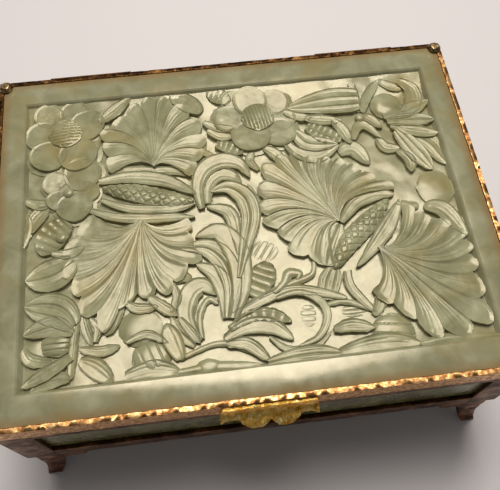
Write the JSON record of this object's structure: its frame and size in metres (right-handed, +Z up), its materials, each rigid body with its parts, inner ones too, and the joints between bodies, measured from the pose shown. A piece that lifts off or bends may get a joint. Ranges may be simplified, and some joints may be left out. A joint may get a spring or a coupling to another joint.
{
  "type": "jewelry box",
  "caption": "Footed rectangular box of pale jade panels in a brass frame, with a hinged lid carved in relief and a scalloped thumb tab.",
  "frame": {"origin": "on the ground, under the middle of the whole box with its thumb tab and hinges", "axes": "+Z up, +X along the box's width to the right, front with the thumb tab at -Y, hinges at +Y"},
  "size_m": [0.14, 0.1161, 0.0595],
  "materials": {
    "carved_jade": "pale grey-green jade, carved in relief and polished",
    "polished_jade": "green jade slab, polished",
    "gilt_brass": "gilt brass, worn, hand finished",
    "aged_brass": "brass darkened with age"
  },
  "bodies": {
    "case": {"front_left_post": "aged_brass", "front_right_post": "aged_brass", "rear_right_post": "aged_brass", "rear_left_post": "aged_brass", "front_bottom_rail": "aged_brass", "right_bottom_rail": "aged_brass", "rear_bottom_rail": "aged_brass", "left_bottom_rail": "aged_brass", "front_top_rail": "aged_brass", "right_top_rail": "aged_brass", "rear_top_rail": "aged_brass", "left_top_rail": "aged_brass", "front_panel": "polished_jade", "right_panel": "polished_jade", "rear_panel": "polished_jade", "left_panel": "polished_jade", "base_panel": "polished_jade", "front_left_foot": "aged_brass", "front_right_foot": "aged_brass", "rear_right_foot": "aged_brass", "rear_left_foot": "aged_brass", "left_hinge_case_leaf": "aged_brass", "right_hinge_case_leaf": "aged_brass", "left_hinge_pin": "aged_brass", "right_hinge_pin": "aged_brass"},
    "lid": {"lid_front_rail": "gilt_brass", "lid_right_rail": "gilt_brass", "lid_rear_rail": "gilt_brass", "lid_left_rail": "gilt_brass", "lid_panel": "carved_jade", "thumb_tab": "gilt_brass", "front_left_rivet": "gilt_brass", "front_right_rivet": "gilt_brass", "rear_right_rivet": "gilt_brass", "rear_left_rivet": "gilt_brass", "left_hinge_lid_leaf": "aged_brass", "right_hinge_lid_leaf": "aged_brass"}
  },
  "joints": [
    {"name": "lid_hinge", "type": "hinge", "parent": "case", "child": "lid", "pos_m": [0, 0.05644, 0.051], "axis": [-1, 0, 0], "range_deg": [0, 100]}
  ]
}
